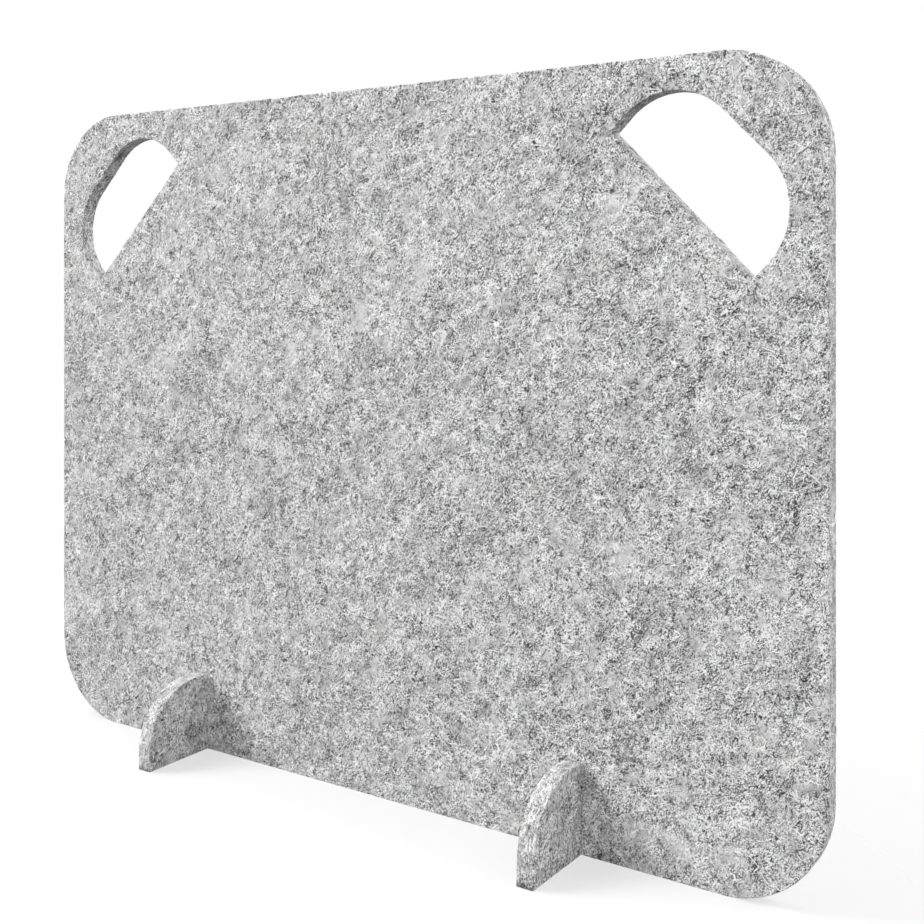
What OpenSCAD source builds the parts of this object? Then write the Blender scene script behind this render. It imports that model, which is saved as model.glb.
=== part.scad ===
// Desk divider screen of felt board: a panel with two hand holes, standing on two feet.
// The panel stands in the XZ plane with its middle on the Z axis. +X is along the panel, +Y is
// towards its back and +Z is up. Z = 0 is the surface that it stands on. Lengths are millimetres.
// The feet are the two pieces cut out of the hand holes, so both are drawn from one outline.

/* [Board] */
// Thickness of the felt board that all pieces are cut from
board_t = 12; // [8:1:18]

/* [Panel] */
// Length of the panel
panel_w = 660; // [560:10:900]
// Height of the panel
panel_h = 500; // [340:10:700]
// Radius of the panel's four corners
panel_r = 65; // [20:5:90]

/* [Hand holes] */
// Length of a hand hole's straight side, which is also a foot's length
cutout_w = 130; // [110:1:150]
// Depth of a hand hole from its straight side, which is also a foot's height
cutout_h = 58.5; // [50:0.5:66]
// Radius of the two round corners opposite the straight side
cutout_r = 45.5; // [20:0.5:48]
// Turn of a hand hole's straight side from level, down towards the panel's side edge
cutout_turn = 45; // [30:1:60]
// Distance from the panel's side edge to the middle of the straight side
cutout_side = 92; // [84:1:120]
// Distance from the panel's top edge to the middle of the straight side
cutout_top = 90; // [82:1:120]

/* [Feet] */
// Distance between the middles of the two feet
foot_pitch = 330; // [160:10:480]

/* [Fit] */
// Gap between a board and each side of the slot that it stands in
slot_side_gap = 0.15; // [0.05:0.05:0.5]
// Gap between the ends of the two slots that meet in one joint
slot_end_gap = 0.3; // [0.1:0.1:1]

/* [Hidden] */
// Width of every slot
slot_w = board_t + 2 * slot_side_gap;
// Height at which the slots meet: each board gives up half of the foot's height
lap_z = cutout_h / 2;
// How far each cut runs past the face that it opens
overrun = 5;
// Facets of a full circle in the preview
$fn = 96;

// The outline of a hand hole and of a foot: the straight side on X, the round corners above it
module cutout_outline() {
    intersection() {
        translate([-cutout_w / 2, 0])
            square([cutout_w, cutout_h]);
        union() {
            translate([-cutout_w / 2, 0])
                square([cutout_w, cutout_h - cutout_r]);
            translate([cutout_r - cutout_w / 2, 0])
                square([cutout_w - 2 * cutout_r, cutout_h]);
            for (side = [-1, 1])
                translate([side * (cutout_w / 2 - cutout_r), cutout_h - cutout_r])
                    circle(r = cutout_r);
        }
    }
}

// The panel's outer outline, standing on X
module panel_outline() {
    translate([-panel_w / 2, panel_r])
        square([panel_w, panel_h - 2 * panel_r]);
    translate([panel_r - panel_w / 2, 0])
        square([panel_w - 2 * panel_r, panel_h]);
    for (side = [-1, 1], z = [panel_r, panel_h - panel_r])
        translate([side * (panel_w / 2 - panel_r), z])
            circle(r = panel_r);
}

// The hand hole in the upper corner on one side: -1 is left and 1 is right
module hand_hole(side) {
    translate([side * (panel_w / 2 - cutout_side), panel_h - cutout_top])
        rotate(-side * cutout_turn)
            cutout_outline();
}

// The slot in the panel's lower edge that the foot on one side stands in
module foot_slot(side) {
    translate([side * foot_pitch / 2 - slot_w / 2, -overrun])
        square([slot_w, lap_z + slot_end_gap / 2 + overrun]);
}

// The slot in a foot's top that the panel stands in
module panel_slot() {
    translate([-slot_w / 2, lap_z - slot_end_gap / 2])
        square([slot_w, cutout_h - lap_z + slot_end_gap / 2 + overrun]);
}

// A flat outline made into a board that faces along Y, centred on the panel's plane
module board_along_x() {
    rotate([90, 0, 0])
        translate([0, 0, -board_t / 2])
            linear_extrude(board_t)
                children();
}

// A flat outline made into a board that faces along X, at a foot's place
module board_along_y(x) {
    translate([x - board_t / 2, 0, 0])
        rotate([90, 0, 90])
            linear_extrude(board_t)
                children();
}

module panel() {
    color("darkgray")
        board_along_x()
            difference() {
                panel_outline();
                for (side = [-1, 1]) {
                    hand_hole(side);
                    foot_slot(side);
                }
            }
}

module foot(side) {
    color("silver")
        board_along_y(side * foot_pitch / 2)
            difference() {
                cutout_outline();
                panel_slot();
            }
}

module foot_left() {
    foot(-1);
}

module foot_right() {
    foot(1);
}

panel();
foot_left();
foot_right();
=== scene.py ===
import math

import bpy
import numpy as np
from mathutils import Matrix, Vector, geometry, noise


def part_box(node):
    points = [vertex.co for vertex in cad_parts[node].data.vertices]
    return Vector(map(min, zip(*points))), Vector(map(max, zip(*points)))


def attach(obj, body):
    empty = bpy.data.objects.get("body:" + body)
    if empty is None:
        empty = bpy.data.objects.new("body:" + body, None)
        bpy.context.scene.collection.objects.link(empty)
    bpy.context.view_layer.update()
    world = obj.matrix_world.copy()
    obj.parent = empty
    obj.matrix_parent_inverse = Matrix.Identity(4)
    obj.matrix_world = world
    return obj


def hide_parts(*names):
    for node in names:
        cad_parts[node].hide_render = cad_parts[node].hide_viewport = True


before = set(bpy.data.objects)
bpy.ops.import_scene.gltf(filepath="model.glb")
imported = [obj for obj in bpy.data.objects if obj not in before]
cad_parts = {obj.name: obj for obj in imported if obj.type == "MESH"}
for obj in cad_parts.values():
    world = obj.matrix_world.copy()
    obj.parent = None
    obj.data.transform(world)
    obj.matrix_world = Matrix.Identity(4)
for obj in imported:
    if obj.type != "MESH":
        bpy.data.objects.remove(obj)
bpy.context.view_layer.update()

# Lengths below are metres where they are sizes of the object, and millimetres where a name ends in mm.
MM = 0.001

# The board, as the solids have it
panel_low, panel_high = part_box("panel")
BOARD = panel_high.y - panel_low.y
PANEL_HALF = panel_high.x
PANEL_TOP = panel_high.z
PANEL_CORNER = 65 * MM
foot_low, foot_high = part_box("foot_right")
FOOT_PLACE = (foot_low.x + foot_high.x) / 2
CUTOUT_HALF = foot_high.y
CUTOUT_HEIGHT = foot_high.z
CUTOUT_CORNER = 45.5 * MM
CUTOUT_TURN = math.radians(45)
CUTOUT_FROM_SIDE = 92 * MM
CUTOUT_FROM_TOP = 90 * MM
SLOT_GAP = 0.15 * MM
SLOT_END_GAP = 0.3 * MM
SLOT_HALF = BOARD / 2 + SLOT_GAP
LAP = CUTOUT_HEIGHT / 2

# The floor: the colour by which it throws light back, the colour it is seen in, how much of its own shadow it
# shows against plain white, and how far from the object in depth that starts to fade and is gone. Distance
# along the panel counts for less. A thing less than the reach below the floor shows through it.
FLOOR_HALF = 4
ROOM_LIGHT = 0.08
FLOOR_LIT = "#6f6f6f"
FLOOR_SEEN = "#e0e0e0"
FLOOR_SHADOW = 0.42
SHADOW_FULL = 0.1
SHADOW_GONE = 0.42
SHADOW_ALONG_SHARE = 0.55
BELOW_REACH = 0.2
BELOW_RAYS = 16
BELOW_SHOWN = 0.94

# The lamps: name, angle round the screen from its front, angle up, and watts
LAMPS = [
    ("key_left", -60, 32, 329), ("high_left", -90, 58, 150), ("low_left", -30, 20, 73),
    ("front_right", 30, 22, 123), ("right", 60, 32, 47), ("side_right", 90, 13, 88),
    ("back_right", 110, 45, 150), ("back", -172, 13, 238),
]
LAMP_DISTANCE = 6
LAMP_SIZE = 2.7

# How the cut board is shaped up close
EDGE_SOFT = 0.6 * MM
SLOT_SOFT = 0.35 * MM
SOFT_REACH = 5 * MM
FLAT_RIM = 1.6 * MM
SLOT_RIM = 0.48 * MM
EDGE_STEPS = 4
OUTLINE_STEP = 2.6 * MM
CORNER_CLEAR = 3.8 * MM
FACE_STEP = 4.2 * MM
BORDER_CLEAR = 2.3 * MM
FACE_RELIEF = 0.16 * MM
FACE_RELIEF_WAVE = 26 * MM
EDGE_RELIEF = 0.22 * MM
EDGE_RELIEF_WAVE = 9 * MM

# The felt's two ends of tone: 0 is the dark colour and 1 the light one
DARK_FIBRE = "#3a3a3a"
LIGHT_FIBRE = "#fafafa"
GROUND = 0.517

# Its short strands. Each kind is bent by the curls, and is given by its lie in degrees, width in mm,
# where its noise starts to show, and its tone. A later kind covers the ones before it.
STRANDS = [
    (10, 1.2, 0.50, 0.36), (70, 0.95, 0.50, 0.60), (130, 0.8, 0.52, 0.12), (35, 0.7, 0.52, 0.70),
    (95, 0.6, 0.53, -0.06), (155, 0.6, 0.53, 0.70), (50, 0.55, 0.54, 0.86), (110, 0.55, 0.54, -0.3),
    (170, 0.5, 0.55, 0.80), (20, 0.47, 0.56, 1.00), (80, 0.47, 0.56, -0.38), (140, 0.47, 0.57, 1.16),
]
STRAND_LENGTH = 6
STRAND_EDGE = 0.06
STRAND_COVER = 0.9
STRAND_UNDER = 0.7
STRAND_MEAN = 0.58
STRAND_STEP_MM = (13.7, 5.3, 7.9)
CURL_MM = 5
CURL_REACH_MM = 4

# Its single hairs from the lowest up: the size of their curls in mm and their tone. A hair is a line where
# a noise crosses its middle, and shows in some places only.
HAIRS = [(1.9, 0.0), (2.5, 1.0), (3.2, 0.0), (4.0, 1.0), (6, 1.05), (9, 1.1)]
HAIR_HALF_MM = 0.19
HAIR_FULL = 0.4
HAIR_GONE = 1.5
HAIR_STRETCH = 1.7
HAIR_STRETCH_MM = 3
HAIR_HIDDEN = 0.47
HAIR_SHOWN = 0.53
HAIR_COVER = 0.9
HAIR_STEP_MM = (31, 17, 71)
NOISE_SLOPE = 0.36

# Its clouds, tufts and long drifts, as tone above and below the ground, and how far it is drawn and turned
CLOUD = 0.52
CLOUD_MM = 40
CLOUD_DETAIL = 4
TUFT = 0.3
TUFT_MM = 7
TUFT_DETAIL = 1.5
DRIFT = 0.1
DRIFT_MM = 60
DRIFT_LENGTH = 2.2
DRAWN_TURN = (0, math.radians(-40), 0)
PANEL_DRAWN = 1.12
SLANT = (0.5, 0.35, 0.8)

# The patches in which its strands show more or less. Most of a noise lies between the two values.
PATCH_MM = 14
PATCH_LOW = 0.76
PATCH_HIGH = 2.26
PATCH_LEAST = 0.2
DARK_SHOWS = 1.1
NOISE_LOW = 0.3
NOISE_HIGH = 0.7

# Its cut edges
CUT_STREAK_LENGTH = 6
CUT_STREAK_WIDTH_MM = 1.6
CUT_FADE_MM = 0.9
FACE_FADE_MM = 0.2
CUT_STREAK = 0.65
PANEL_CUT_SHARE = 0.95
FOOT_CUT_SHARE = 0.65
BUMP = 0.4
BUMP_DEPTH = 0.3 * MM

# Which stretch of the felt each board is cut from. The fibres of a foot stand nearly upright in it.
PATTERN = {"panel": 7, "foot_left": 14, "foot_right": 10}
PATTERN_STEP_MM = (137, 11, 53)
UPRIGHT = 90
FOOT_LIE_SPREAD = 0.3

# Fibres that have worked loose. They are drawn about ten times as thick as real ones, which would not show.
FIBRES = {"Per square metre": 6200.0, "Length": 0.014, "Thickness": 0.00055, "Rise": 0.0007, "Curl": 0.007}
LOOSE_DARK = "#7a7a7a"
LOOSE_TONE_PATCH = 11 * MM
LOOSE_DARK_BELOW = 0.34
LOOSE_LIGHT_ABOVE = 0.44
LOOSE_CURL_SIZE = 5 * MM
LOOSE_SHORTEST = 0.35
LOOSE_POINTS = 8
LOOSE_SIDES = 3
LOOSE_SUNK = 0.6
EDGE_FIBRES = 1.2
JOINT_CLEAR = 7 * MM
JOINT_FADE = 2 * MM
SEED = {"panel": 1, "foot_left": 21, "foot_right": 41}

# The photograph's camera: a 50 mm lens on a 36 mm frame, level, with the horizon above the middle
PHOTO_SIDE = 924
HORIZON_ROW = 281.5
CAMERA_PLACE = (0.5642, -0.7206, 0.3629)
CAMERA_TURN = math.radians(34.13)
LENS = 50
SENSOR = 36


def linear(hex_colour):
    """An sRGB hex colour as the linear colour that a shader takes."""
    shares = [int(hex_colour[i:i + 2], 16) / 255 for i in (1, 3, 5)]
    return (*[s / 12.92 if s <= 0.04045 else ((s + 0.055) / 1.055) ** 2.4 for s in shares], 1)


def add(tree, kind, inputs=None, **settings):
    """Adds one node. Settings are its own properties. Inputs are values, or what is linked to it: a socket,
    or a node whose first output is meant."""
    node = tree.nodes.new(kind)
    for name, value in settings.items():
        setattr(node, name, value)
    for key, value in (inputs or {}).items():
        if isinstance(value, bpy.types.Node):
            value = value.outputs[0]
        if isinstance(value, bpy.types.NodeSocket):
            tree.links.new(value, node.inputs[key])
        else:
            node.inputs[key].default_value = value
    return node


def rounded_outline(corners):
    """Points round a closed outline, given its corners as (x, z, radius). Straight stretches are split."""
    points = []
    for i, (x, z, radius) in enumerate(corners):
        here = Vector((x, z))
        back = (Vector(corners[i - 1][:2]) - here).normalized()
        on = (Vector(corners[(i + 1) % len(corners)][:2]) - here).normalized()
        if radius == 0:
            points.append(here)
            continue
        half = back.angle(on) / 2
        centre = here + (back + on).normalized() * radius / math.sin(half)
        first = here + back * radius / math.tan(half) - centre
        last = here + on * radius / math.tan(half) - centre
        turn = first.angle_signed(last)
        steps = math.ceil(abs(turn) * radius / OUTLINE_STEP)
        for k in range(steps + 1):
            a = -turn * k / steps
            points.append(centre + Vector((first.x * math.cos(a) - first.y * math.sin(a),
                                           first.x * math.sin(a) + first.y * math.cos(a))))
    fine = []
    for i, p in enumerate(points):
        q = points[(i + 1) % len(points)]
        fine.append(p)
        ends = CORNER_CLEAR / (q - p).length
        if ends < 0.5:
            steps = math.ceil((1 - 2 * ends) / ends)
            fine += [p.lerp(q, ends + (1 - 2 * ends) * k / steps) for k in range(steps + 1)]
    return np.array(fine)


def cutout_corners():
    """The corners of a hand hole and of a foot, with the straight side on the first axis."""
    return [(-CUTOUT_HALF, 0, 0), (CUTOUT_HALF, 0, 0),
            (CUTOUT_HALF, CUTOUT_HEIGHT, CUTOUT_CORNER), (-CUTOUT_HALF, CUTOUT_HEIGHT, CUTOUT_CORNER)]


def panel_outlines():
    """The panel's outer outline with its two slots, and its two hand holes."""
    slots = []
    for x in (-FOOT_PLACE, FOOT_PLACE):
        end = LAP + SLOT_END_GAP / 2
        left, right = x - SLOT_HALF, x + SLOT_HALF
        slots += [(left, 0, 0), (left, end, 0), (right, end, 0), (right, 0, 0)]
    outer = [(-PANEL_HALF, 0, PANEL_CORNER), *slots, (PANEL_HALF, 0, PANEL_CORNER),
             (PANEL_HALF, PANEL_TOP, PANEL_CORNER), (-PANEL_HALF, PANEL_TOP, PANEL_CORNER)]
    holes = []
    for side in (-1, 1):
        hole = rounded_outline(cutout_corners())
        turn = -side * CUTOUT_TURN
        spin = np.array([[math.cos(turn), -math.sin(turn)], [math.sin(turn), math.cos(turn)]])
        holes.append(hole @ spin.T + (side * (PANEL_HALF - CUTOUT_FROM_SIDE), PANEL_TOP - CUTOUT_FROM_TOP))
    return [rounded_outline(outer), *[hole[::-1] for hole in holes]]


def foot_outlines():
    """A foot's outline, with the slot in its top."""
    low, high, *top = cutout_corners()
    end = LAP - SLOT_END_GAP / 2
    slot = [(SLOT_HALF, CUTOUT_HEIGHT, 0), (SLOT_HALF, end, 0),
            (-SLOT_HALF, end, 0), (-SLOT_HALF, CUTOUT_HEIGHT, 0)]
    return [rounded_outline([low, high, top[0], *slot, top[1]])]


def inward(outline):
    """For each point of an outline, the step into the board that moves both its edges in by one unit."""
    along = np.roll(outline, -1, 0) - outline
    along /= np.linalg.norm(along, axis=1)[:, None]
    normal = np.stack([-along[:, 1], along[:, 0]], 1)
    before = np.roll(normal, 1, 0)
    return (normal + before) / (1 + (normal * before).sum(1))[:, None]


def inside(points, outlines):
    """Which points lie in the board, by counting the outline edges to one side of each."""
    crossings = np.zeros(len(points), int)
    for outline in outlines:
        for (x0, z0), (x1, z1) in zip(outline, np.roll(outline, -1, 0)):
            spans = (z0 > points[:, 1]) != (z1 > points[:, 1])
            if z0 != z1:
                crossings += spans & (points[:, 0] < x0 + (points[:, 1] - z0) * (x1 - x0) / (z1 - z0))
    return crossings % 2 == 1


def nearest(points, others):
    """The distance from each point to the nearest of the others."""
    return np.array([np.sqrt(((others - p) ** 2).sum(1).min()) for p in points])


def wave(points, length, seed):
    """Smooth noise from -1 to 1 at points, with waves of about that length."""
    return np.array([noise.noise(Vector((*(p / length), seed))) for p in points])


def smooth_step(value, low, high):
    t = np.clip((value - low) / (high - low), 0, 1)
    return t * t * (3 - 2 * t)


def board_mesh(name, outlines, joint_zone, place, seed):
    """A board cut to these outlines, with soft edges and a slightly uneven face.

    joint_zone says how far each point is from where another board touches, and place turns the board's
    own (along, up, depth) points into points of the object.
    """
    points, faces = [], []

    def ring(flat, depth):
        start = len(points)
        points.extend([(*p, d) for p, d in zip(flat, np.broadcast_to(depth, len(flat)))])
        return list(range(start, len(points)))

    half = BOARD / 2
    face_rings = {-1: [], 1: []}
    for n, outline in enumerate(outlines):
        step_in = inward(outline)
        free = smooth_step(joint_zone(outline), 0, SOFT_REACH)
        soft = SLOT_SOFT + (EDGE_SOFT - SLOT_SOFT) * free
        uneven = EDGE_RELIEF * (0.5 + 0.5 * wave(outline, EDGE_RELIEF_WAVE, seed + n))
        edge = outline + step_in * (free * uneven)[:, None]
        rim = SLOT_RIM + (FLAT_RIM - SLOT_RIM) * free
        profile = [(soft + rim, -half + 0 * soft)]
        for k in range(EDGE_STEPS + 1):
            a = math.pi / 2 * k / EDGE_STEPS
            profile.append((soft * (1 - math.sin(a)), -half + soft * (1 - math.cos(a))))
        profile += [(inset, -depth) for inset, depth in reversed(profile)]
        rings = [ring(edge + step_in * inset[:, None], depth) for inset, depth in profile]
        face_rings[-1].append(rings[0])
        face_rings[1].append(rings[-1])
        for low, high in zip(rings, rings[1:]):
            for i in range(len(outline)):
                j = (i + 1) % len(outline)
                faces.append((low[i], high[i], high[j], low[j]))

    border = np.array([points[i][:2] for loop in face_rings[-1] for i in loop])
    low, high = border.min(0), border.max(0)
    rows = np.arange(low[1] + FACE_STEP / 2, high[1], FACE_STEP * math.sqrt(3) / 2)
    grid = np.array([(x + (r % 2) * FACE_STEP / 2, z) for r, z in enumerate(rows)
                     for x in np.arange(low[0] + FACE_STEP / 2, high[0], FACE_STEP)])
    loops = [np.array([points[i][:2] for i in loop]) for loop in face_rings[-1]]
    grid = grid[inside(grid, loops)]
    grid = grid[nearest(grid, border) > BORDER_CLEAR]
    joined, edges = [], []
    for loop in loops:
        start = len(joined)
        joined.extend(loop)
        edges += [(start + i, start + (i + 1) % len(loop)) for i in range(len(loop))]
    flat = [Vector(p) for p in [*joined, *grid]]
    inside_only = 1
    same_point = 1e-9
    triangles = np.array(geometry.delaunay_2d_cdt(flat, edges, [], inside_only, same_point)[2])
    triangles = triangles[inside(np.array(flat)[triangles].mean(1), loops)]
    relief = FACE_RELIEF * smooth_step(np.minimum(joint_zone(grid), nearest(grid, border)), 0, 3 * SOFT_REACH)
    for side in (-1, 1):
        index = [i for loop in face_rings[side] for i in loop]
        index += ring(grid, side * half + relief * wave(grid, FACE_RELIEF_WAVE, seed + 5 * side))
        for t in triangles:
            a, b, c = (index[i] for i in t)
            faces.append((a, b, c) if side < 0 else (a, c, b))

    mesh = bpy.data.meshes.new(name)
    mesh.from_pydata([place(*p) for p in points], [], faces)
    mesh.shade_smooth()
    board = bpy.data.objects.new(name, mesh)
    bpy.context.scene.collection.objects.link(board)
    return board


def panel_joint_zone(points):
    """How far points of the panel are from the feet that cross it, or from the floor."""
    across = np.abs(np.abs(points[:, 0]) - FOOT_PLACE) - BOARD / 2 - SLOT_GAP
    above = points[:, 1] - CUTOUT_HEIGHT
    return np.minimum(np.maximum(np.maximum(across, above), 0), points[:, 1])


def foot_joint_zone(points):
    """How far points of a foot are from the panel that crosses it, or from the floor."""
    across = np.abs(points[:, 0]) - BOARD / 2 - SLOT_GAP
    return np.minimum(np.maximum(across, 0), points[:, 1])


def felt_material(name, turned, lies, drawn, cut_share, stretch_of_mat):
    """Needle-punched polyester felt board, pressed from light and dark grey fibres and cut with a knife.

    To the eye it is a dense mat of short curled strands, light over darker ones, with small dark gaps and
    a soft cloudiness a few centimetres across. It is matte, and streaked where it is cut.
    The strands are drawn about ten times as wide as the real fibres, which are too fine to show.

    turned is the place along the panel of a board that stands square to it, and 0 for the panel. lies turns
    the lie of a kind of strand into that on this board, drawn is how much longer the mat is drawn,
    cut_share is how much of the strands its cut edges show, and stretch_of_mat says which stretch of the
    mat the board is cut from.
    """
    material = bpy.data.materials.new(name)
    material.use_nodes = True
    tree = material.node_tree
    surface = tree.nodes["Principled BSDF"]

    place = add(tree, "ShaderNodeTexCoord").outputs["Object"]
    place_mm = add(tree, "ShaderNodeVectorMath", {0: place, "Scale": 1 / MM}, operation="SCALE")
    quarter = -math.pi / 2 if turned else 0
    turn = add(tree, "ShaderNodeMapping", {
        "Vector": place_mm, "Location": (0, turned / MM, 0), "Rotation": (0, 0, quarter)})
    depth = add(tree, "ShaderNodeSeparateXYZ", {0: turn}).outputs["Y"]

    # The mat is drawn a little longer in one slanting direction, as its fibres were laid
    flat = add(tree, "ShaderNodeMapping", {
        "Vector": turn, "Rotation": DRAWN_TURN, "Scale": (drawn, 1, 1 / drawn)}, vector_type="TEXTURE")
    flat = add(tree, "ShaderNodeMapping", {"Vector": flat, "Rotation": DRAWN_TURN})
    start_mm = tuple(stretch_of_mat * step for step in PATTERN_STEP_MM)
    board = add(tree, "ShaderNodeVectorMath", {0: flat, 1: start_mm}, operation="ADD")
    curl = add(tree, "ShaderNodeTexNoise", {"Vector": board, "Scale": 1 / CURL_MM, "Detail": 1})
    curl = curl.outputs["Color"]
    curled = add(tree, "ShaderNodeVectorMath", {0: curl, 1: (CURL_REACH_MM,) * 3, 2: board},
                 operation="MULTIPLY_ADD")

    # The softer patterns read the board at a slant, so that none of them shows in rows
    slant = add(tree, "ShaderNodeMapping", {"Vector": board, "Rotation": SLANT})
    curled_slant = add(tree, "ShaderNodeMapping", {"Vector": curled, "Rotation": SLANT})

    # The strands, each kind laid over those before it
    tone = GROUND
    height = 0
    for n, (lie, width, start, shade) in enumerate(STRANDS):
        own = add(tree, "ShaderNodeMapping", {
            "Vector": curled, "Location": [n * step for step in STRAND_STEP_MM],
            "Rotation": (0, math.radians(lies(lie)), 0),
            "Scale": (width * STRAND_LENGTH, width, width)}, vector_type="TEXTURE")
        strand = add(tree, "ShaderNodeTexNoise", {"Vector": own, "Scale": 1, "Detail": 1})
        mask = add(tree, "ShaderNodeMapRange", {
            "Value": strand, 1: start, 2: start + STRAND_EDGE, 4: STRAND_COVER},
            interpolation_type="SMOOTHSTEP")
        tone = add(tree, "ShaderNodeMix", {0: mask, 2: tone, 3: shade}, data_type="FLOAT")
        height = add(tree, "ShaderNodeMath", {0: height, 1: STRAND_UNDER, 2: mask}, operation="MULTIPLY_ADD")

    # Single hairs on top, along the lines where a noise crosses its middle value
    for n, (size, hair_tone) in enumerate(HAIRS):
        apart = tuple(n * step for step in HAIR_STEP_MM)
        own = add(tree, "ShaderNodeVectorMath", {0: slant, 1: apart}, operation="ADD")
        line = add(tree, "ShaderNodeTexNoise", {"Vector": own, "Scale": 1 / size, "Detail": 1,
                                                "Roughness": 0.4})
        line = add(tree, "ShaderNodeMath", {0: line, 1: 0.5}, operation="SUBTRACT")
        line = add(tree, "ShaderNodeMath", {0: line}, operation="ABSOLUTE")
        half = NOISE_SLOPE * HAIR_HALF_MM / size
        line = add(tree, "ShaderNodeMapRange", {"Value": line, 1: HAIR_FULL * half, 2: HAIR_GONE * half,
                                                  3: 1, 4: 0}, interpolation_type="SMOOTHSTEP")
        stretch_mm = HAIR_STRETCH * size + HAIR_STRETCH_MM
        here = add(tree, "ShaderNodeTexNoise", {"Vector": own, "Scale": 1 / stretch_mm, "Detail": 0})
        here = add(tree, "ShaderNodeMapRange", {"Value": here, 1: HAIR_HIDDEN, 2: HAIR_SHOWN, 4: HAIR_COVER})
        hair = add(tree, "ShaderNodeMath", {0: line, 1: here}, operation="MULTIPLY")
        tone = add(tree, "ShaderNodeMix", {0: hair, 2: tone, 3: hair_tone}, data_type="FLOAT")
        height = add(tree, "ShaderNodeMath", {0: height, 1: hair}, operation="ADD")

    # Soft clouds, small tufts, and drifts as long as a hand that lie in the drawn direction
    cloud = add(tree, "ShaderNodeTexNoise", {"Vector": slant, "Scale": 1 / CLOUD_MM, "Detail": CLOUD_DETAIL,
                                             "Roughness": 1})
    cloud = add(tree, "ShaderNodeMapRange", {"Value": cloud, 3: GROUND - CLOUD, 4: GROUND + CLOUD})
    tuft = add(tree, "ShaderNodeTexNoise", {"Vector": curled_slant, "Scale": 1 / TUFT_MM,
                                            "Detail": TUFT_DETAIL, "Roughness": 0.9})
    tuft = add(tree, "ShaderNodeMapRange", {"Value": tuft, 3: -TUFT, 4: TUFT})
    soft = add(tree, "ShaderNodeMath", {0: cloud, 1: tuft}, operation="ADD")
    long = add(tree, "ShaderNodeMapping", {
        "Vector": board, "Rotation": DRAWN_TURN,
        "Scale": (DRIFT_MM * DRIFT_LENGTH, DRIFT_MM, DRIFT_MM)}, vector_type="TEXTURE")
    drift = add(tree, "ShaderNodeTexNoise", {"Vector": long, "Scale": 1, "Detail": 1, "Roughness": 0.6,
                                             "Distortion": 0.8})
    drift = add(tree, "ShaderNodeMapRange", {"Value": drift, 3: -DRIFT, 4: DRIFT})
    soft = add(tree, "ShaderNodeMath", {0: soft, 1: drift}, operation="ADD")

    # Patches in which single strands show more, most of all where the mat is dark
    clear = add(tree, "ShaderNodeTexNoise", {"Vector": slant, "Scale": 1 / PATCH_MM, "Detail": 3,
                                             "Roughness": 0.7})
    clear = add(tree, "ShaderNodeMapRange", {
        "Value": clear, 1: NOISE_LOW, 2: NOISE_HIGH, 3: PATCH_LOW, 4: PATCH_HIGH})
    clear = add(tree, "ShaderNodeMath", {0: soft, 1: -DARK_SHOWS, 2: clear}, operation="MULTIPLY_ADD")
    clear = add(tree, "ShaderNodeMath", {0: clear, 1: PATCH_LEAST}, operation="MAXIMUM")
    tone = add(tree, "ShaderNodeMath", {0: tone, 1: STRAND_MEAN}, operation="SUBTRACT")
    tone = add(tree, "ShaderNodeMath", {0: tone, 1: clear, 2: soft}, operation="MULTIPLY_ADD")

    # The cut edges are streaked along the cut, and show less of the strands than the faces do
    deep = add(tree, "ShaderNodeMath", {0: depth}, operation="ABSOLUTE")
    face_mm = BOARD / MM / 2
    cut = add(tree, "ShaderNodeMapRange", {
        "Value": deep, 1: face_mm - CUT_FADE_MM, 2: face_mm - FACE_FADE_MM, 3: 1, 4: 0},
        interpolation_type="SMOOTHSTEP")
    middle = (1 - cut_share) / 2
    layered = add(tree, "ShaderNodeMapping", {
        "Vector": board, "Scale": (CUT_STREAK_LENGTH, 1, CUT_STREAK_LENGTH)}, vector_type="TEXTURE")
    streak = add(tree, "ShaderNodeTexNoise", {"Vector": layered, "Scale": 1 / CUT_STREAK_WIDTH_MM,
                                              "Detail": 2, "Roughness": 0.8})
    streak = add(tree, "ShaderNodeMapRange", {
        "Value": streak, 3: middle - CUT_STREAK, 4: middle + CUT_STREAK})
    edge_tone = add(tree, "ShaderNodeMath", {0: tone, 1: cut_share, 2: streak}, operation="MULTIPLY_ADD")
    tone = add(tree, "ShaderNodeMix", {0: cut, 2: tone, 3: edge_tone}, data_type="FLOAT")

    colour = add(tree, "ShaderNodeMapRange", {
        "Vector": tone, 7: (0, 0, 0), 8: (1, 1, 1), 9: linear(DARK_FIBRE)[:3], 10: linear(LIGHT_FIBRE)[:3]},
        data_type="FLOAT_VECTOR").outputs["Vector"]
    tree.links.new(colour, surface.inputs["Base Color"])
    bump = add(tree, "ShaderNodeBump", {"Height": height, "Strength": BUMP, "Distance": BUMP_DEPTH})
    tree.links.new(bump.outputs[0], surface.inputs["Normal"])
    surface.inputs["Roughness"].default_value = 0.92
    surface.inputs["IOR"].default_value = 1.5
    surface.inputs["Specular IOR Level"].default_value = 0.25
    surface.inputs["Sheen Weight"].default_value = 0.12
    surface.inputs["Sheen Roughness"].default_value = 0.5
    return material


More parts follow.
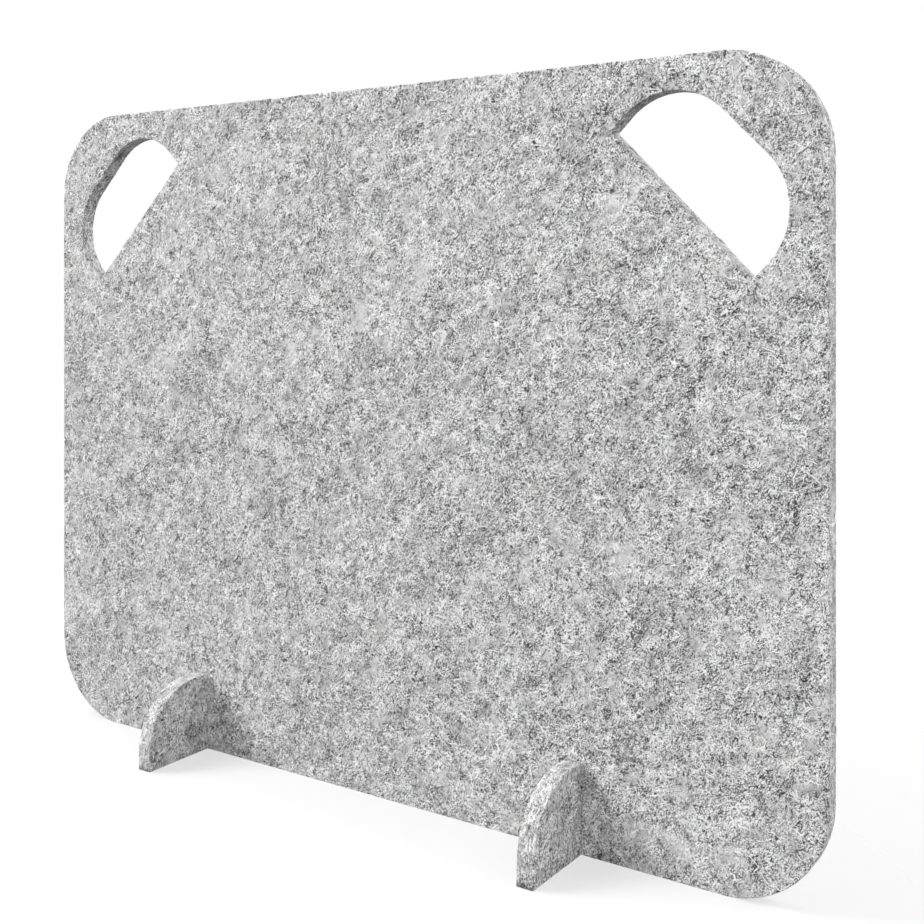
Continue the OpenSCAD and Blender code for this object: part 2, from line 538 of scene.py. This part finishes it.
def fibre_material():
    """Polyester fibres that have worked loose: mostly light, some dark, a little shinier than the mat."""
    material = bpy.data.materials.new("loose_polyester_fibre")
    material.use_nodes = True
    tree = material.node_tree
    surface = tree.nodes["Principled BSDF"]
    place = add(tree, "ShaderNodeTexCoord").outputs["Object"]
    tone = add(tree, "ShaderNodeTexNoise", {"Vector": place, "Scale": 1 / LOOSE_TONE_PATCH, "Detail": 1})
    share = add(tree, "ShaderNodeMapRange", {"Value": tone, 1: LOOSE_DARK_BELOW, 2: LOOSE_LIGHT_ABOVE,
                                              3: 0, 4: 1})
    colour = add(tree, "ShaderNodeMix", {0: share, 6: linear(LOOSE_DARK), 7: linear(LIGHT_FIBRE)},
                 data_type="RGBA").outputs[2]
    tree.links.new(colour, surface.inputs["Base Color"])
    surface.inputs["Roughness"].default_value = 0.6
    surface.inputs["IOR"].default_value = 1.57
    surface.inputs["Specular IOR Level"].default_value = 0.3
    return material


def fibre_nodes(material):
    """Geometry nodes that lay loose curled fibres on a board, with their ends sunk in it."""
    tree = bpy.data.node_groups.new("loose_fibres", "GeometryNodeTree")
    face = tree.interface
    face.new_socket("Geometry", in_out="OUTPUT", socket_type="NodeSocketGeometry")
    face.new_socket("Geometry", in_out="INPUT", socket_type="NodeSocketGeometry")
    for name, value in FIBRES.items():
        face.new_socket(name, in_out="INPUT", socket_type="NodeSocketFloat").default_value = value
    face.new_socket("Seed", in_out="INPUT", socket_type="NodeSocketInt").default_value = 1
    given = add(tree, "NodeGroupInput").outputs
    board, seed = given["Geometry"], given["Seed"]

    share = add(tree, "GeometryNodeInputNamedAttribute", {"Name": "loose_share"}, data_type="FLOAT")
    density = add(tree, "ShaderNodeMath", {0: given["Per square metre"], 1: share}, operation="MULTIPLY")
    spots = add(tree, "GeometryNodeDistributePointsOnFaces", {
        "Mesh": board, "Density": density, "Seed": seed})
    spots = spots.outputs
    any_way = add(tree, "FunctionNodeRandomValue", {0: (0, 0, 0), 1: (0, 0, 2 * math.pi), "Seed": seed},
                  data_type="FLOAT_VECTOR")
    lie = add(tree, "FunctionNodeRotateRotation", {0: spots["Rotation"], 1: any_way}, rotation_space="LOCAL")
    size = add(tree, "FunctionNodeRandomValue", {2: LOOSE_SHORTEST, 3: 1.0, "Seed": seed},
               data_type="FLOAT").outputs[1]
    straight = add(tree, "GeometryNodeCurvePrimitiveLine", {"Start": (-0.5, 0, 0), "End": (0.5, 0, 0)})
    strand = add(tree, "GeometryNodeResampleCurve", {"Curve": straight, "Count": LOOSE_POINTS})
    length = add(tree, "ShaderNodeMath", {0: given["Length"], 1: size}, operation="MULTIPLY")
    fibres = add(tree, "GeometryNodeInstanceOnPoints", {"Points": spots["Points"], "Instance": strand,
                                                        "Rotation": lie, "Scale": length})
    root = add(tree, "GeometryNodeInputPosition")
    fibres = add(tree, "GeometryNodeStoreNamedAttribute", {"Geometry": fibres, "Name": "root", "Value": root},
                 data_type="FLOAT_VECTOR", domain="INSTANCE")
    fibres = add(tree, "GeometryNodeRealizeInstances", {"Geometry": fibres})
    here = add(tree, "GeometryNodeInputPosition")
    root = add(tree, "GeometryNodeInputNamedAttribute", {"Name": "root"}, data_type="FLOAT_VECTOR")
    bends = [add(tree, "ShaderNodeTexNoise", {"Vector": at, "Scale": 1 / LOOSE_CURL_SIZE, "Detail": 1})
             .outputs["Color"] for at in (here, root)]
    bend = add(tree, "ShaderNodeVectorMath", {0: bends[0], 1: bends[1]}, operation="SUBTRACT")
    bend = add(tree, "ShaderNodeVectorMath", {0: bend, "Scale": given["Curl"]}, operation="SCALE")
    bent = add(tree, "ShaderNodeVectorMath", {0: here, 1: bend}, operation="ADD")
    on_board = add(tree, "GeometryNodeProximity", {"Geometry": board, "Sample Position": bent},
                   target_element="FACES").outputs["Position"]
    normal = add(tree, "GeometryNodeInputNormal")
    out = add(tree, "GeometryNodeSampleNearestSurface", {
        "Mesh": board, "Value": normal, "Sample Position": bent}, data_type="FLOAT_VECTOR")
    t = add(tree, "GeometryNodeSplineParameter").outputs["Factor"]
    arch = add(tree, "ShaderNodeMath", {0: t, 1: math.pi}, operation="MULTIPLY")
    arch = add(tree, "ShaderNodeMath", {0: arch}, operation="SINE")
    sunk = add(tree, "ShaderNodeMath", {0: given["Thickness"], 1: -LOOSE_SUNK}, operation="MULTIPLY")
    arch = add(tree, "ShaderNodeMath", {0: arch, 1: given["Rise"], 2: sunk}, operation="MULTIPLY_ADD")
    lifted = add(tree, "ShaderNodeVectorMath", {0: out, "Scale": arch}, operation="SCALE")
    lifted = add(tree, "ShaderNodeVectorMath", {0: on_board, 1: lifted}, operation="ADD")
    fibres = add(tree, "GeometryNodeSetPosition", {"Geometry": fibres, "Position": lifted})
    radius = add(tree, "ShaderNodeMath", {0: given["Thickness"], 1: 0.5}, operation="MULTIPLY")
    ring = add(tree, "GeometryNodeCurvePrimitiveCircle", {"Resolution": LOOSE_SIDES, "Radius": radius})
    tubes = add(tree, "GeometryNodeCurveToMesh", {"Curve": fibres, "Profile Curve": ring, "Fill Caps": True})
    tubes = add(tree, "GeometryNodeSetMaterial", {"Geometry": tubes, "Material": material})
    add(tree, "NodeGroupOutput", {0: tubes})
    return tree


def loose_fibres(board, tree, name, share, settings):
    """The loose fibres of one board, as a plain mesh. share says how thick they lie at each of its points."""
    attribute = board.data.attributes.new("loose_share", "FLOAT", "POINT")
    attribute.data.foreach_set("value", share.astype(np.float32))
    modifier = board.modifiers.new("loose_fibres", "NODES")
    modifier.node_group = tree
    for item in tree.interface.items_tree:
        if item.name in settings:
            modifier[item.identifier] = settings[item.name]
    mesh = bpy.data.meshes.new_from_object(board.evaluated_get(bpy.context.evaluated_depsgraph_get()))
    board.modifiers.remove(modifier)
    board.data.attributes.remove(board.data.attributes["loose_share"])
    if "root" in mesh.attributes:
        mesh.attributes.remove(mesh.attributes["root"])
    mesh.name = name
    fibres = bpy.data.objects.new(name, mesh)
    bpy.context.scene.collection.objects.link(fibres)
    return fibres


def floor():
    """A large plain pale floor. It is seen as white, with the object's soft shadow close to the object.

    The white is what lies behind it, and it fades above anything that is below it, so that a foot that is
    pulled off still shows.
    """
    half = FLOOR_HALF
    mesh = bpy.data.meshes.new("floor")
    corners = [(-half, -half, 0), (half, -half, 0), (half, half, 0), (-half, half, 0)]
    mesh.from_pydata(corners, [], [(0, 1, 2, 3)])
    plane = bpy.data.objects.new("floor", mesh)
    bpy.context.scene.collection.objects.link(plane)
    material = bpy.data.materials.new("matt_painted_floor")
    material.use_nodes = True
    tree = material.node_tree
    tree.nodes.remove(tree.nodes["Principled BSDF"])
    lit = add(tree, "ShaderNodeBsdfDiffuse", {"Color": linear(FLOOR_LIT)})
    shaded = add(tree, "ShaderNodeBsdfDiffuse", {"Color": linear(FLOOR_SEEN)})
    white = add(tree, "ShaderNodeBsdfTransparent", {"Color": (1, 1, 1, 1)})
    place = add(tree, "ShaderNodeTexCoord").outputs["Object"]
    shape = add(tree, "ShaderNodeVectorMath", {0: place, 1: (SHADOW_ALONG_SHARE, 1, 0)}, operation="MULTIPLY")
    far = add(tree, "ShaderNodeVectorMath", {0: shape}, operation="LENGTH").outputs["Value"]
    share = add(tree, "ShaderNodeMapRange", {
        "Value": far, 1: SHADOW_FULL, 2: SHADOW_GONE, 3: 1 - FLOOR_SHADOW, 4: 1},
        interpolation_type="SMOOTHSTEP")
    free = add(tree, "ShaderNodeAmbientOcclusion", {"Distance": BELOW_REACH}, inside=True,
               samples=BELOW_RAYS)
    below = add(tree, "ShaderNodeMapRange", {"Value": free.outputs["AO"], 1: BELOW_SHOWN, 2: 1, 3: 1, 4: 0})
    share = add(tree, "ShaderNodeMath", {0: share, 1: below}, operation="MAXIMUM")
    seen = add(tree, "ShaderNodeMixShader", {0: share, 1: shaded, 2: white})
    mixed = add(tree, "ShaderNodeMixShader", {0: seeing_ray(tree), 1: lit, 2: seen})
    tree.links.new(mixed.outputs[0], tree.nodes["Material Output"].inputs["Surface"])
    mesh.materials.append(material)
    plane.visible_shadow = False


def seeing_ray(tree):
    """1 for a ray from the camera, gloss or glass, which is to find the background white, and 0 for light."""
    ray = add(tree, "ShaderNodeLightPath").outputs
    seen = add(tree, "ShaderNodeMath", {0: ray["Is Camera Ray"], 1: ray["Is Glossy Ray"]}, operation="ADD")
    return add(tree, "ShaderNodeMath", {0: seen, 1: ray["Is Transmission Ray"]}, operation="ADD")


def lamp(name, azimuth, elevation, power):
    """A round soft lamp aimed at the middle of the screen, at angles seen from its front."""
    aim = Vector((0, 0, PANEL_TOP / 2))
    a, e = math.radians(azimuth), math.radians(elevation)
    away = Vector((math.sin(a) * math.cos(e), -math.cos(a) * math.cos(e), math.sin(e)))
    light = bpy.data.lights.new(name, "AREA")
    light.shape = "DISK"
    light.size = LAMP_SIZE
    light.energy = power
    lamp_object = bpy.data.objects.new(name, light)
    lamp_object.location = aim + away * LAMP_DISTANCE
    lamp_object.rotation_euler = away.to_track_quat("Z", "Y").to_euler()
    bpy.context.scene.collection.objects.link(lamp_object)


def studio():
    world = bpy.data.worlds.new("pale_room")
    bpy.context.scene.world = world
    world.use_nodes = True
    tree = world.node_tree
    room = tree.nodes["Background"]
    room.inputs["Color"].default_value = (1, 1, 1, 1)
    room.inputs["Strength"].default_value = ROOM_LIGHT
    white = add(tree, "ShaderNodeBackground", {"Color": (1, 1, 1, 1), "Strength": 1})
    mixed = add(tree, "ShaderNodeMixShader", {0: seeing_ray(tree), 1: room, 2: white})
    tree.links.new(mixed.outputs[0], tree.nodes["World Output"].inputs["Surface"])
    bpy.context.scene.view_settings.view_transform = "Standard"
    for name, azimuth, elevation, power in LAMPS:
        lamp(name, azimuth, elevation, power)


def camera():
    lens = bpy.data.cameras.new("camera")
    lens.lens = LENS
    lens.sensor_width = SENSOR
    lens.shift_y = (HORIZON_ROW - PHOTO_SIDE / 2) / PHOTO_SIDE
    eye = bpy.data.objects.new("camera", lens)
    eye.location = CAMERA_PLACE
    eye.rotation_euler = (math.pi / 2, 0, CAMERA_TURN)
    bpy.context.scene.collection.objects.link(eye)
    bpy.context.scene.camera = eye


def loose_share(board, zone, turned):
    """How thick loose fibres lie: none near a joint or the floor, and more on the cut edges."""
    points = np.array([v.co for v in board.data.vertices])
    along, depth = (points[:, 1], points[:, 0] - turned) if turned else (points[:, 0], points[:, 1])
    flat = np.stack([along, points[:, 2]], 1)
    clear = smooth_step(zone(flat), JOINT_CLEAR, JOINT_CLEAR + JOINT_FADE)
    return clear * np.where(np.abs(depth) < BOARD / 2 - 0.5 * EDGE_SOFT, EDGE_FIBRES, 1)


def boards():
    """The panel and the two feet, each a soft-edged board in place of its solid, with its loose fibres."""
    nodes = fibre_nodes(fibre_material())
    pieces = [("panel", panel_outlines(), panel_joint_zone, 0, lambda u, v, w: (u, w, v), lambda lie: lie,
               PANEL_DRAWN, PANEL_CUT_SHARE)]
    for body, x in (("foot_left", -FOOT_PLACE), ("foot_right", FOOT_PLACE)):
        pieces.append((body, foot_outlines(), foot_joint_zone, x, lambda u, v, w, x=x: (x - w, u, v),
                       lambda lie: UPRIGHT + (lie - UPRIGHT) * FOOT_LIE_SPREAD, 1, FOOT_CUT_SHARE))
    for body, outlines, zone, turned, place, lies, drawn, cut_share in pieces:
        board = board_mesh(body + "_felt", outlines, zone, place, SEED[body])
        felt = felt_material("needle_punched_felt_" + body, turned, lies, drawn, cut_share,
                             PATTERN[body])
        board.data.materials.append(felt)
        share = loose_share(board, zone, turned)
        settings = {**FIBRES, "Seed": SEED[body]}
        fibres = loose_fibres(board, nodes, body + "_loose_fibres", share, settings)
        for piece in (board, fibres):
            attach(piece, body)
        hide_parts(body)


camera()
studio()
floor()
boards()
